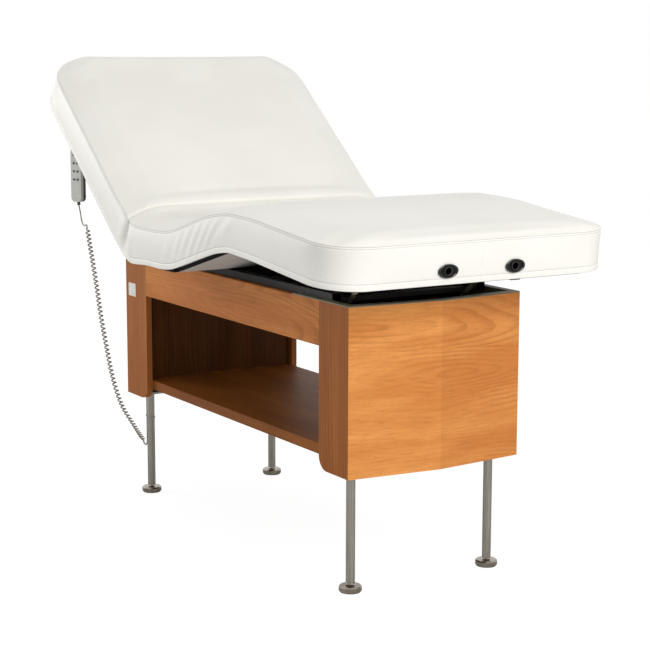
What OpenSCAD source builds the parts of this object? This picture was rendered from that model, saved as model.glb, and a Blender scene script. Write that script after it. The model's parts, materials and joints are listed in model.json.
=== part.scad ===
// Electric massage table. A wooden cabinet on four steel legs holds a scissor lift, which carries
// a sectioned mattress: back rest, seat, thigh rest and leg rest. A corded handset hangs at its side.
// X runs across, +Y towards the head end, +Z up. The origin is on the floor, under the middle.

/* [Cabinet] */
// Width over the corner stiles
cabinet_w = 532; // [500:2:580]
// Length between the corners of the two ends
cabinet_l = 1294; // [1260:2:1400]
// How far the ridge of each end panel stands out
ridge_out = 26; // [10:1:40]
// Height of the cabinet's underside above the floor
cabinet_low = 314; // [260:2:380]
// Height of the cabinet's top edge above the floor
cabinet_top = 752; // [740:2:800]
// Thickness of the outer boards
board_t = 18; // [14:1:20]
// Width of each corner stile
stile_w = 141; // [130:1:180]
// Radius of the lower inner corner of a stile
stile_r = 38; // [20:1:60]
// Depth of the side aprons
apron_h = 116; // [114:1:130]
// Height of the shelf's upper face above the floor
shelf_top = 373; // [372:1:460]
// Thickness of the shelf
shelf_t = 28; // [18:1:32]
// Distance from each end's corner line to the partition's face in the storage space
partition_in = 121; // [115:1:128]
// How far the middle of each partition lies further out
partition_ridge = 15; // [5:1:24]
// Length of the metal edge trim along each side
rim_l = 271; // [200:1:400]

/* [Legs] */
// Distance of each leg from the middle plane
leg_x = 218; // [190:1:222]
// Distance of each leg from the end's corner line
leg_in = 62; // [55:1:70]
// Diameter of a leg tube
leg_d = 24; // [22:1:30]
// Wall of a leg tube
leg_wall = 1.5; // [1:0.1:2.5]
// Diameter of a foot disc
foot_d = 60; // [45:1:75]
// Diameter of a foot's threaded stem
stem_d = 10; // [8:1:12]
// Clear length of stem between disc and leg
stem_show = 4; // [3:1:16]

/* [Lift] */
// Length of a scissor arm between its pivot and its roller
arm_l = 900; // [860:5:920]
// Depth of a scissor arm
arm_h = 36; // [28:1:38]
// Thickness of a scissor arm
arm_t = 6; // [4:1:7]
// Diameter of a lift roller
roller_d = 28; // [24:1:32]
// Radius of the lever that the lift rod pushes
lift_lever_r = 75; // [65:1:78]

/* [Mattress] */
// Width of the mattress
mattress_w = 864; // [800:2:900]
// Thickness of the mattress at its upper seam
pad_t = 102; // [80:1:120]
// How far the upholstered top rises above that seam
crown_h = 28; // [10:1:40]
// How far the sides draw in between their seams
side_in = 3; // [1:0.5:6]
// Radius of the four plan corners
corner_r = 108; // [90:1:140]
// Height of the seat's underside at the lowest setting
mattress_low = 784; // [784:1:820]
// Distance of the back rest's hinge line from the cabinet's head end
hinge_in = 346; // [340:1:380]
// Length of the back rest from its hinge line
back_l = 776; // [740:2:820]
// Length of the seat between its two hinge lines
seat_l = 287; // [280:1:320]
// Length of the thigh rest between its two hinge lines
thigh_l = 339; // [330:1:360]
// Length of the leg rest from the knee line
leg_rest_l = 517; // [500:1:560]
// Thickness of the boards under the mattress
deck_t = 12; // [9:1:12]

/* [Setting shown] */
// Slope of the back rest
back_deg = 38.5; // [30:0.5:45]
// Slope of the thigh rest
thigh_deg = 15.8; // [12:0.2:18]
// Slope of the leg rest
leg_deg = 5.8; // [4:0.2:8]

/* [Head cradle sockets] */
// Distance between the two socket bores
socket_pitch = 203.2; // [180:0.1:230]
// Bore of a socket
socket_d = 17; // [14:0.5:20]
// Depth of a socket
socket_l = 60; // [40:1:80]

/* [Handset] */
// Length of the handset
handset_l = 166; // [160:1:190]
// Width of the handset
handset_w = 44; // [42:1:60]
// Thickness of the handset
handset_t = 20; // [18:1:26]
// Diameter of a push button
button_d = 7; // [5:0.5:8]
// Diameter of the handset cord
cord_d = 4.2; // [3.5:0.1:5]
// Outside diameter of the cord's curls
curl_d = 16; // [12:0.5:20]
// Number of curls
curls = 57; // [40:1:60]

/* [Hidden] */
$fn = 48;

// Shared clearances: the overrun of a cut, the gap at a butt weld, a running fit on the radius
cut = 1;
weld_gap = 0.1;
run_fit = 0.05;
// Free play of a plate beside its neighbour
side_play = 2;

// Levels of the cabinet
half_w = cabinet_w / 2;
inner_w = half_w - board_t;
tray_t = 12;
tray_low = cabinet_top - apron_h;
tray_top = tray_low + tray_t;
shelf_low = shelf_top - shelf_t;
bar_w = 36;
bar_t = 6;
floor_t = 12;
floor_low = cabinet_low + bar_t;
partition_t = 12;
rim_w = 22;
rim_t = 3;
skirt_h = 60;
skirt_t = 2;

// Levels of the mechanism
section_h = 15;
section_w = 30;
section_wall = 1.5;
section_x = 180;
axis_drop = deck_t + section_h / 2;
axis_z = mattress_low - axis_drop;
rail_clear = 2;
rail_h = 25;
rail_w = 30;
rail_x = 240;
rail_top = mattress_low - deck_t - rail_clear;
rail_low = rail_top - rail_h;
base_rail_t = 4;
base_rail_w = 36;
base_web_h = 38;
roller_r = roller_d / 2;
roller_gap = 0.6;
low_pivot_z = tray_top + base_rail_t + roller_gap + roller_r;
high_pivot_z = rail_low - roller_gap - roller_r;
arm_rise = high_pivot_z - low_pivot_z;
arm_deg = asin(arm_rise / arm_l);
pivot_in = 199;
pivot_y = cabinet_l - pivot_in;
roller_y = pivot_y - arm_l * cos(arm_deg);

// Hinge lines and slopes of the sections, in the plane X = 0
back_y = cabinet_l - hinge_in;
thigh_y = back_y - seat_l;
knee_y = thigh_y - thigh_l * cos(thigh_deg);
knee_z = axis_z + thigh_l * sin(thigh_deg);
y_foot = knee_y - leg_rest_l * cos(leg_deg) - (axis_drop + pad_t) * sin(leg_deg);
y_head = back_y + back_l * cos(back_deg) - axis_drop * sin(back_deg);
y_mid = (y_foot + y_head) / 2;

// Half the largest angle that each fold closes to, and the mattress's play at a fold
back_cut = 35.5;
thigh_cut = 13;
pad_gap = 0.6;
deck_back = 16;
deck_in = 24;
eye_r = 11;
pin_r = 4;
pin_head_r = 7;
pin_head_t = 3;
eye_t = 8;
lug_t = 6;

module placed() { translate([0, -y_mid, 0]) children(); }
module on_back() { placed() translate([0, back_y, axis_z]) rotate([back_deg, 0, 0]) children(); }
module on_thigh() {
    placed() translate([0, thigh_y, axis_z]) rotate([-thigh_deg, 0, 0]) mirror([0, 1, 0]) children();
}
module on_leg() {
    placed() translate([0, knee_y, knee_z]) rotate([leg_deg, 0, 0]) mirror([0, 1, 0]) children();
}
module both_sides() { children(); mirror([1, 0, 0]) children(); }
module both_ends() { children(); translate([0, cabinet_l, 0]) mirror([0, 1, 0]) children(); }

// A block between two limits on each axis
module block(x, y, z) {
    translate([x[0], y[0], z[0]]) cube([x[1] - x[0], y[1] - y[0], z[1] - z[0]]);
}
// Rectangular tubes, open at their ends, along X and along Y
module tube_x(x, y, z, wall) {
    difference() {
        block(x, y, z);
        block(x + [-cut, cut], y + [wall, -wall], z + [wall, -wall]);
    }
}
module tube_y(x, y, z, wall) {
    difference() {
        block(x, y, z);
        block(x + [wall, -wall], y + [-cut, cut], z + [wall, -wall]);
    }
}
// Round bar or hole along X between two values of X
module rod_x(x, y, z, r) { translate([x[0], y, z]) rotate([0, 90, 0]) cylinder(h = x[1] - x[0], r = r); }
module rod_y(x, y, z, r) { translate([x, y[0], z]) rotate([-90, 0, 0]) cylinder(h = y[1] - y[0], r = r); }
// Draws a plan in Y and Z and gives it a thickness along X
module plate_x(x) { translate([x[0], 0, 0]) rotate([90, 0, 90]) linear_extrude(x[1] - x[0]) children(); }
// Plan of a flat bar with round ends between two points
link_steps = 16;
function half_turn(p, r, from) = [for (i = [0:link_steps]) let (a = from + 180 * i / link_steps)
    p + r * [cos(a), sin(a)]];
module link(p, q, w) {
    a = atan2(q[1] - p[1], q[0] - p[0]);
    polygon(concat(half_turn(q, w / 2, a - 90), half_turn(p, w / 2, a + 90)));
}
module rounded(size, r) {
    translate([r, 0]) square(size - [2 * r, 0]);
    translate([0, r]) square(size - [0, 2 * r]);
    for (x = [r, size[0] - r], y = [r, size[1] - r]) translate([x, y]) circle(r = r);
}

// Cabinet boards. The plan of an end follows its ridge; off is the distance in from the outer face
function prow(x, off) = off - ridge_out * (1 - abs(x) / half_w);
function part_face(x) = partition_in - partition_ridge * (1 - abs(x) / inner_w);

module end_panels() {
    color("peru") placed() both_ends() both_sides() translate([0, 0, cabinet_low])
        linear_extrude(cabinet_top - cabinet_low) polygon([
            [weld_gap / 2, prow(0, 0)], [half_w, 0],
            [inner_w, prow(inner_w, board_t)], [weld_gap / 2, prow(0, board_t)]]);
}
module end_partitions() {
    color("saddlebrown") placed() both_ends() both_sides() translate([0, 0, shelf_low])
        linear_extrude(tray_low - shelf_low) polygon([
            [weld_gap / 2, part_face(0) - partition_t], [inner_w, part_face(inner_w) - partition_t],
            [inner_w, part_face(inner_w)], [weld_gap / 2, part_face(0)]]);
}
// Side view of a stile, with its lower inner corner rounded
module stile_side() {
    difference() {
        translate([0, cabinet_low]) square([stile_w, cabinet_top - cabinet_low]);
        translate([stile_w - stile_r, cabinet_low]) difference() {
            translate([0, -cut]) square([stile_r + cut, stile_r + cut]);
            translate([0, stile_r]) circle(r = stile_r);
        }
    }
}
module corner_stiles() {
    color("chocolate") placed() both_ends() both_sides() intersection() {
        plate_x([inner_w, half_w]) stile_side();
        translate([0, 0, cabinet_low - cut]) linear_extrude(cabinet_top - cabinet_low + 2 * cut)
            polygon([[half_w, 0], [half_w, stile_w], [inner_w, stile_w],
                [inner_w, prow(inner_w, board_t)]]);
    }
}
module side_aprons() {
    color("chocolate") placed() both_sides()
        block([inner_w, half_w], [stile_w, cabinet_l - stile_w], [tray_low, cabinet_top]);
}
module shelf() {
    color("saddlebrown") placed() translate([0, 0, shelf_low]) linear_extrude(shelf_t)
        polygon([[-inner_w, part_face(inner_w)], [0, part_face(0)], [inner_w, part_face(inner_w)],
            [inner_w, cabinet_l - part_face(inner_w)], [0, cabinet_l - part_face(0)],
            [-inner_w, cabinet_l - part_face(inner_w)]]);
}
module mechanism_tray() {
    color("dimgray") placed() translate([0, 0, tray_low]) linear_extrude(tray_t)
        polygon([[-inner_w, prow(inner_w, board_t)], [0, prow(0, board_t)],
            [inner_w, prow(inner_w, board_t)], [inner_w, cabinet_l - prow(inner_w, board_t)],
            [0, cabinet_l - prow(0, board_t)], [-inner_w, cabinet_l - prow(inner_w, board_t)]]);
}
// The boards that carry the legs' cross bars; the head one has the cord's hole
module end_floors() {
    color("dimgray") placed() difference() {
        both_ends() both_sides() translate([0, 0, floor_low]) linear_extrude(floor_t) polygon([
            [weld_gap / 2, prow(0, board_t)], [inner_w, prow(inner_w, board_t)],
            [inner_w, leg_in + bar_w / 2], [weld_gap / 2, leg_in + bar_w / 2]]);
        translate([-leg_x, cord_y, floor_low - cut]) cylinder(h = floor_t + 2 * cut, r = gland_r);
    }
}
// Metal trim on the top edge: a flange over the boards and a skirt inside them
module rim_side() {
    block([half_w - rim_w, half_w], [rim_w + weld_gap, rim_l], [cabinet_top, cabinet_top + rim_t]);
    block([inner_w - skirt_t, inner_w], [rim_w + weld_gap, rim_l],
        [cabinet_top - skirt_h, cabinet_top - weld_gap]);
}
module rim_front() {
    translate([0, 0, cabinet_top]) linear_extrude(rim_t) polygon([
        [weld_gap / 2, prow(0, 0)], [half_w, 0], [half_w, rim_w], [half_w - rim_w, rim_w],
        [weld_gap / 2, prow(0, rim_w)]]);
    translate([0, 0, cabinet_top - skirt_h]) linear_extrude(skirt_h - weld_gap) polygon([
        [weld_gap / 2, prow(0, board_t)], [inner_w, prow(inner_w, board_t)],
        [inner_w, prow(inner_w, board_t + skirt_t)], [weld_gap / 2, prow(0, board_t + skirt_t)]]);
}
module rim_trim() {
    color("darkseagreen") placed() both_ends() both_sides() { rim_side(); rim_front(); }
}

// Legs and feet
bar_over = 17;
plug_h = 20;
disc_h = 17;
rubber_h = 3;
rubber_in = 3;
disc_top = 13;
boss_r = 8;
boss_h = 1;
leg_low = disc_h + boss_h + stem_show;
leg_r = leg_d / 2;
stem_r = stem_d / 2;
stem_in = 16;

module leg_tubes() {
    color("lightsteelblue") placed() both_ends() both_sides() translate([leg_x, leg_in, 0])
        difference() {
            translate([0, 0, leg_low]) cylinder(h = cabinet_low - leg_low, r = leg_r);
            translate([0, 0, leg_low + plug_h]) cylinder(h = cabinet_low, r = leg_r - leg_wall);
            translate([0, 0, leg_low - cut]) cylinder(h = plug_h + 2 * cut, r = stem_r + run_fit);
        }
}
module leg_cross_bars() {
    color("lightgray") placed() both_ends()
        block([-leg_x - bar_over, leg_x + bar_over], [leg_in - bar_w / 2, leg_in + bar_w / 2],
            [cabinet_low, floor_low]);
}
// A levelling foot: rubber sole, bevelled steel disc, boss and threaded stem
module foot(side, y) {
    r = foot_d / 2;
    color("silver") placed() translate([side * leg_x, y, 0]) rotate_extrude() polygon([
        [0, 0], [r - rubber_in, 0], [r - rubber_in, rubber_h], [r, rubber_h + cut],
        [r, disc_h - rubber_in], [r - rubber_in, disc_h], [disc_top, disc_h],
        [boss_r, disc_h + boss_h], [stem_r, disc_h + boss_h],
        [stem_r, leg_low + stem_in], [0, leg_low + stem_in]]);
}

// Base of the lift: two angle rails on the tray, with an ear for the fixed pivot
arm_play = 3;
outer_x = [rail_x - rail_w - arm_play - arm_t, rail_x - rail_w - arm_play];
inner_x = outer_x - [arm_t + arm_play, arm_t + arm_play];
axle_r = 5;
ear_t = 6;
ear_x = [rail_x - rail_w - side_play / 2, rail_x - rail_w - side_play / 2 + ear_t];
ear_w = 36;
ear_back = 14;
rail_over = 68;
base_x = [rail_x + base_rail_t - base_rail_w, rail_x + base_rail_t];

module base_rails() {
    color("darkslategray") placed() both_sides() {
        block(base_x, [roller_y - rail_over, pivot_y + rail_over], [tray_top, tray_top + base_rail_t]);
        block([rail_x, rail_x + base_rail_t], [roller_y - rail_over, pivot_y + rail_over],
            [tray_top + base_rail_t + weld_gap, tray_top + base_web_h]);
        difference() {
            plate_x(ear_x) {
                translate([pivot_y, low_pivot_z]) circle(r = ear_back);
                translate([pivot_y - ear_w / 2, tray_top + base_rail_t + weld_gap])
                    square([ear_w, low_pivot_z - tray_top - base_rail_t - weld_gap]);
            }
            rod_x(ear_x + [-cut, cut], pivot_y, low_pivot_z, axle_r + run_fit);
        }
    }
}
module base_pivot_pins() {
    color("silver") placed() both_sides() {
        rod_x([outer_x[0] - side_play, ear_x[1]], pivot_y, low_pivot_z, axle_r);
        rod_x([ear_x[1], ear_x[1] + pin_head_t], pivot_y, low_pivot_z, axle_r + arm_play);
    }
}
box_w = 120;
box_l = 80;
box_h = 45;
box_in = 30;
module control_box() {
    color("black") placed()
        block([-box_w / 2, box_w / 2], [cabinet_l - box_in - box_l, cabinet_l - box_in],
            [tray_top, tray_top + box_h]);
}

// Scissor arms: two flat bars joined by two round tubes
cross_r = 9;
cross_at = 40;
stud_r = 7;
stud_play = 3.4;
axle_over = 3;
lever_t = 6;
lever_w = 22;
lever_pin_r = 5;
lift_x = -105;
lift_lever_deg = 7;
arm_mid = [(pivot_y + roller_y) / 2, (low_pivot_z + high_pivot_z) / 2];
// A point at a distance along the outer arm from its fixed pivot, and along the inner arm
function on_outer(s) = [pivot_y - s * cos(arm_deg), low_pivot_z + s * sin(arm_deg)];
function on_inner(s) = [pivot_y - s * cos(arm_deg), high_pivot_z - s * sin(arm_deg)];
lift_pin = [pivot_y - lift_lever_r * sin(lift_lever_deg), low_pivot_z + lift_lever_r * cos(lift_lever_deg)];
lift_lever_x = [lift_x - side_play / 2 - lever_t, lift_x - side_play / 2];
yoke_t = 10;

module outer_arms() {
    color("black") placed() {
        both_sides() {
            difference() {
                plate_x(outer_x) link(on_outer(0), on_outer(arm_l), arm_h);
                rod_x(outer_x + [-cut, cut], on_outer(0)[0], on_outer(0)[1], axle_r + run_fit);
                rod_x(outer_x + [-cut, cut], arm_mid[0], arm_mid[1], stud_r + run_fit);
            }
            rod_x([outer_x[1], rail_x - axle_over], roller_y, high_pivot_z, axle_r);
        }
        for (s = [cross_at, arm_l - cross_at])
            rod_x([-outer_x[0] + weld_gap, outer_x[0] - weld_gap], on_outer(s)[0], on_outer(s)[1], cross_r);
        plate_x(lift_lever_x) link(on_outer(cross_at), lift_pin, lever_w);
        rod_x([lift_lever_x[1], lift_x + yoke_t + side_play], lift_pin[0], lift_pin[1], lever_pin_r);
    }
}
module inner_arms() {
    color("black") placed() {
        both_sides() {
            difference() {
                plate_x(inner_x) link(on_inner(0), on_inner(arm_l), arm_h);
                rod_x(inner_x + [-cut, cut], on_inner(0)[0], on_inner(0)[1], axle_r + run_fit);
                rod_x(inner_x + [-cut, cut], arm_mid[0], arm_mid[1], stud_r + stud_play);
            }
            rod_x([inner_x[1], rail_x - axle_over], roller_y, low_pivot_z, axle_r);
        }
        for (s = [cross_at, arm_l - cross_at])
            rod_x([-inner_x[0] + weld_gap, inner_x[0] - weld_gap], on_inner(s)[0], on_inner(s)[1], cross_r);
    }
}
module centre_studs() {
    color("silver") placed() both_sides()
        rod_x([inner_x[0], outer_x[1]], arm_mid[0], arm_mid[1], stud_r);
}
module rollers(z) {
    color("white") placed() both_sides() difference() {
        rod_x([outer_x[1] + arm_play, rail_x - 2 * axle_over], roller_y, z, roller_r);
        rod_x([outer_x[1], rail_x], roller_y, z, axle_r + run_fit);
    }
}

// Linear drives: gear case, motor and guide tube; the rod ends in a slotted yoke on a lever pin
case_w = 40;
tube_r = 16;
rod_r = 5;
motor_r = 19;
motor_l = 130;
motor_off = 38;
yoke_w = 28;
yoke_play = 1.6;
drive_z = 703;
drive_top = drive_z + tube_r + rod_r / 2;

// Drive body along +Y from its case; dir 1 pushes towards the head, -1 towards the foot
module drive(x, y, tube_l, dir, motor_side) {
    translate([x, y, drive_z]) mirror([0, dir < 0 ? 1 : 0, 0]) difference() {
        union() {
            block([-case_w / 2, case_w / 2], [-case_l, 0], [-tube_r, drive_top - drive_z]);
            block([motor_side > 0 ? 0 : -motor_off, motor_side > 0 ? motor_off : 0],
                [-case_l, -case_l / 2], [-tube_r, tube_r]);
            rod_y(0, [0, tube_l], 0, tube_r);
            rod_y(motor_side * motor_off, [-case_l, motor_l - case_l], 0, motor_r);
        }
        rod_y(0, [cut, tube_l + cut], 0, rod_r + run_fit);
    }
}
// Rod with its yoke. The slot is upright, so the lever pin may rise and fall in it
module drive_rod(x, y_from, pin, slot_z, dir) {
    difference() {
        union() {
            rod_y(x + yoke_t / 2, dir > 0 ? [y_from, pin[0] - yoke_w / 2] : [pin[0] + yoke_w / 2, y_from],
                drive_z, rod_r);
            block([x, x + yoke_t], [pin[0] - yoke_w / 2, pin[0] + yoke_w / 2],
                [min(slot_z[0], drive_z) - lever_w / 2, max(slot_z[1], drive_z) + lever_w / 2]);
        }
        block([x - cut, x + yoke_t + cut],
            [pin[0] - lever_pin_r - yoke_play, pin[0] + lever_pin_r + yoke_play],
            [slot_z[0] - lever_pin_r - yoke_play, slot_z[1] + lever_pin_r + yoke_play]);
    }
}
lift_case_in = 335;
lift_case_y = pivot_y - lift_case_in;
lift_tube_l = 230;
rod_in = 100;
module lift_actuator() {
    color("dimgray") placed() {
        drive(lift_x + yoke_t / 2, lift_case_y, lift_tube_l, 1, -1);
        block([lift_x + yoke_t / 2 - case_w / 2, lift_x + yoke_t / 2 + case_w / 2],
            [lift_case_y - case_l, lift_case_y], [tray_top, drive_z - tube_r]);
    }
}
module lift_rod() {
    color("silver") placed()
        drive_rod(lift_x, lift_case_y + lift_tube_l - rod_in, lift_pin, [lift_pin[1], lift_pin[1]], 1);
}

// Upper frame of the lift: two side rails, cross bars, hinge lugs and pivot ears
top_over = 78;
top_end_over = 55;
cross_w = 25;
low_bar_h = 12;
low_bar_top = rail_top - section_h - rail_clear;
low_bar_low = low_bar_top - low_bar_h;
seat_bar_in = 45;
strut_pin_r = 3;
strut_t = 5;
strut_w = 14;
strut_at = 304;
strut_drop = 2;
strut_play = 1.6;
strut_back = 47;
strut_hang = 19;
strut_x = [section_x + side_play * 1.5, section_x + side_play * 1.5 + strut_t];
strut_lug_x = strut_x[1] + side_play;
strut_y = roller_y - strut_back;
strut_z = low_bar_low - strut_hang;
seat_bars = [thigh_y + seat_bar_in - cross_w / 2, back_y - seat_bar_in - cross_w];
case_l = 60;
back_drive_in = 308;
knee_drive_in = 108;
back_case_y = back_y - back_drive_in;
knee_case_y = back_y - knee_drive_in;
low_bars = [strut_y + side_play, back_case_y - case_l + cross_w / 2, pivot_y + top_end_over - cross_w];
eye_x = [section_x - eye_t - side_play * 3, section_x - side_play * 3];
lug_x = [eye_x[1] + side_play / 2, eye_x[1] + side_play / 2 + lug_t];

// A lug from a seat bar to a hinge line: a flat that stays under the deck, and a round eye
module hinge_lug(y_bar, y_axis) {
    difference() {
        plate_x(lug_x) {
            translate([min(y_bar, y_axis), axis_z - eye_r])
                square([abs(y_axis - y_bar), section_h / 2 + eye_r - weld_gap]);
            translate([y_axis, axis_z]) circle(r = eye_r);
        }
        rod_x(lug_x + [-cut, cut], y_axis, axis_z, pin_r + run_fit);
    }
}
module top_frame() {
    color("black") placed() {
        both_sides() {
            tube_y([rail_x - rail_w, rail_x], [roller_y - top_over, pivot_y + top_end_over],
                [rail_low, rail_top], section_wall);
            hinge_lug(seat_bars[0] - weld_gap, thigh_y);
            hinge_lug(seat_bars[1] + cross_w + weld_gap, back_y);
            difference() {
                plate_x(ear_x) {
                    translate([pivot_y, high_pivot_z]) circle(r = roller_r - roller_gap);
                    translate([pivot_y - ear_w / 2, high_pivot_z])
                        square([ear_w, rail_low - high_pivot_z - weld_gap]);
                }
                rod_x(ear_x + [-cut, cut], pivot_y, high_pivot_z, axle_r + run_fit);
            }
            difference() {
                plate_x([strut_lug_x, strut_lug_x + lug_t]) {
                    translate([strut_y, strut_z]) circle(d = strut_w);
                    translate([strut_y, strut_z - strut_w / 2])
                        square([strut_w + side_play, low_bar_low - weld_gap - strut_z + strut_w / 2]);
                }
                rod_x([strut_lug_x - cut, strut_lug_x + lug_t + cut], strut_y, strut_z,
                    strut_pin_r + run_fit);
            }
        }
        for (y = seat_bars)
            tube_x([-rail_x + rail_w + weld_gap, rail_x - rail_w - weld_gap], [y, y + cross_w],
                [low_bar_low, mattress_low - deck_t], section_wall);
        for (y = low_bars)
            tube_x([-rail_x + rail_w + weld_gap, rail_x - rail_w - weld_gap], [y, y + cross_w],
                [low_bar_low, low_bar_top], section_wall);
    }
}
module top_frame_pins() {
    color("silver") placed() both_sides() {
        for (y = [thigh_y, back_y]) {
            rod_x([eye_x[0] - side_play, lug_x[1]], y, axis_z, pin_r);
            rod_x([lug_x[1], lug_x[1] + pin_head_t], y, axis_z, pin_head_r);
        }
        rod_x([inner_x[0] - side_play, ear_x[1]], pivot_y, high_pivot_z, axle_r);
        rod_x([strut_x[0] - side_play / 2, strut_lug_x + lug_t], strut_y, strut_z, strut_pin_r);
    }
}
module seat_deck() {
    color("lightgray") placed()
        block([deck_in - mattress_w / 2, mattress_w / 2 - deck_in],
            [thigh_y + deck_back, back_y - deck_back], [mattress_low - deck_t, mattress_low]);
}

// Back and knee drives hang from the upper frame; levers on the sections take their push
back_lever_r = 80;
back_flat_deg = 35;
knee_lever_r = 70;
knee_flat_deg = 12.5;
knee_x = 105;
back_pin = [back_y - back_lever_r * sin(back_flat_deg - back_deg),
    axis_z - back_lever_r * cos(back_flat_deg - back_deg)];
back_slot = [axis_z - back_lever_r, axis_z - back_lever_r * cos(back_flat_deg)];
knee_pin = [thigh_y + knee_lever_r * sin(knee_flat_deg - thigh_deg),
    axis_z - knee_lever_r * cos(knee_flat_deg - thigh_deg)];
knee_slot = [axis_z - knee_lever_r, axis_z - knee_lever_r * cos(knee_flat_deg)];
back_tube_l = 225;
knee_tube_l = 125;

module back_actuator() {
    color("dimgray") placed() {
        drive(yoke_t / 2, back_case_y, back_tube_l, 1, 1);
        block([yoke_t - case_w, yoke_t + case_w] / 2, [back_case_y - case_l, back_case_y],
            [drive_top, low_bar_low]);
    }
}
module back_rod() {
    color("silver") placed()
        drive_rod(0, back_case_y + back_tube_l - rod_in, back_pin, back_slot, 1);
}
module knee_actuator() {
    color("dimgray") placed() {
        drive(knee_x + yoke_t / 2, knee_case_y, knee_tube_l, -1, 1);
        block([knee_x + yoke_t / 2 - case_w / 2, knee_x + yoke_t / 2 + case_w / 2],
            [knee_case_y, knee_case_y + case_l], [drive_top, low_bar_low]);
    }
}
module knee_rod() {
    color("silver") placed()
        drive_rod(knee_x, knee_case_y - knee_tube_l + rod_in, knee_pin, knee_slot, -1);
}

// A section frame in its own plane: two rails with eyes at the hinge line, and cross tubes
rail_start = deck_back;
module section_rails(u_end) {
    both_sides() {
        tube_y([section_x - section_w, section_x], [rail_start, u_end], [-section_h / 2, section_h / 2],
            section_wall);
        difference() {
            plate_x(eye_x) {
                circle(r = eye_r);
                translate([0, -section_h / 2]) square([rail_start - weld_gap, section_h]);
            }
            rod_x(eye_x + [-cut, cut], 0, 0, pin_r + run_fit);
        }
    }
}
module section_cross(u) {
    tube_x([section_w - section_x + weld_gap, section_x - section_w - weld_gap], [u, u + cross_w],
        [-section_h / 2, section_h / 2], section_wall);
}
module lever(x, u, flat_deg, r) {
    tip = [-r * sin(flat_deg), -r * cos(flat_deg)];
    plate_x([x - side_play / 2 - lever_t, x - side_play / 2]) difference() {
        link([u, 0], tip, lever_w);
        translate([u - cross_w, -section_h / 2 - weld_gap]) square([2 * cross_w, 2 * section_h]);
    }
    rod_x([x - side_play / 2, x + yoke_t + side_play], tip[0], tip[1], lever_pin_r);
}
frame_end = 100;
cross_in = 20;
module back_frame() {
    color("black") on_back() {
        section_rails(back_l - frame_end);
        for (u = [cross_in, back_l / 2, back_l - frame_end - cross_in - cross_w]) section_cross(u);
        lever(0, cross_in + cross_w / 2, back_flat_deg, back_lever_r);
        hook();
    }
}
module thigh_frame() {
    color("black") on_thigh() {
        section_rails(thigh_l - rail_start);
        for (u = [cross_in, thigh_l - cross_in - 2 * cross_w]) section_cross(u);
        lever(knee_x, cross_in + cross_w / 2, knee_flat_deg, knee_lever_r);
        both_sides() difference() {
            plate_x(lug_x) {
                translate([thigh_l, 0]) circle(r = eye_r);
                translate([thigh_l - rail_start + weld_gap, -section_h / 2])
                    square([rail_start, section_h]);
            }
            rod_x(lug_x + [-cut, cut], thigh_l, 0, pin_r + run_fit);
        }
    }
}
module knee_pins() {
    color("silver") on_thigh() both_sides() {
        rod_x([eye_x[0] - side_play, lug_x[1]], thigh_l, 0, pin_r);
        rod_x([lug_x[1], lug_x[1] + pin_head_t], thigh_l, 0, pin_head_r);
    }
}
leg_frame_end = 70;
module leg_frame() {
    color("black") on_leg() {
        section_rails(leg_rest_l - leg_frame_end);
        for (u = [cross_in, leg_rest_l - leg_frame_end - cross_in - cross_w]) section_cross(u);
        both_sides() rod_x([section_x, strut_x[1] + side_play / 2], strut_at, -strut_drop, strut_pin_r);
    }
}
// Stay of the leg rest: an eye on the leg rest's pin and a slot over the upper frame's pin
strut_q = [knee_y - strut_at * cos(leg_deg) + strut_drop * sin(leg_deg),
    knee_z - strut_at * sin(leg_deg) - strut_drop * cos(leg_deg)];
strut_dir = ([strut_y, strut_z] - strut_q) / norm([strut_y, strut_z] - strut_q);
strut_reach = norm([strut_y, strut_z] - strut_q);
slot_short = 22;
slot_long = 14;
module leg_struts() {
    color("darkkhaki") placed() both_sides() difference() {
        plate_x(strut_x) difference() {
            link(strut_q, strut_q + (strut_reach + slot_long + strut_w / 2) * strut_dir, strut_w);
            link(strut_q + (strut_reach - slot_short) * strut_dir,
                strut_q + (strut_reach + slot_long) * strut_dir, 2 * (strut_pin_r + strut_play));
        }
        rod_x(strut_x + [-cut, cut], strut_q[0], strut_q[1], strut_pin_r + run_fit);
    }
}

// Boards under the mattress; the free end has round corners that follow the mattress
module deck(u_end, rounded_end) {
    w = mattress_w / 2 - deck_in;
    r = corner_r - deck_in;
    translate([0, 0, section_h / 2]) linear_extrude(deck_t) {
        translate([-w, deck_back]) square([2 * w, u_end - deck_back - (rounded_end ? r : 0)]);
        if (rounded_end) {
            translate([r - w, deck_back]) square([2 * (w - r), u_end - deck_back]);
            for (x = [r - w, w - r]) translate([x, u_end - r]) circle(r = r);
        }
    }
}
module back_deck() { color("lightgray") on_back() deck(back_l - deck_in, true); }
module thigh_deck() { color("lightgray") on_thigh() deck(thigh_l - deck_back, false); }
module leg_deck() { color("lightgray") on_leg() deck(leg_rest_l - deck_in, true); }

// Mattress. A ring is a cross-section of the pad: flat below, sides drawn in, top crowned.
// side_shares runs up a side, top_shares across the top from one seam to the other
half_m = mattress_w / 2;
side_shares = [0, 0.25, 0.5, 0.75, 1];
top_shares = [0.97, 0.9, 0.8, 0.62, 0.35, 0, -0.35, -0.62, -0.8, -0.9, -0.97];
crown_power = 8;
reach_power = 4;
crown_reach = 200;
function ring(a, rise) = concat(
    [for (s = side_shares) [a - side_in * sin(180 * s), s * pad_t]],
    [for (s = top_shares) [a * s, pad_t + rise * (1 - pow(abs(s), crown_power))]],
    [for (i = [len(side_shares) - 1:-1:0])
        [side_in * sin(180 * side_shares[i]) - a, side_shares[i] * pad_t]],
    [[0, 0]]);
// Station at u along a section; lean is the tangent by which the ring tips, for a fold's cut face
function station(u, lean, a, rise) = [for (p = ring(a, rise))
    [p[0], u + (axis_drop + p[1]) * lean, axis_drop + p[1]]];
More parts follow.
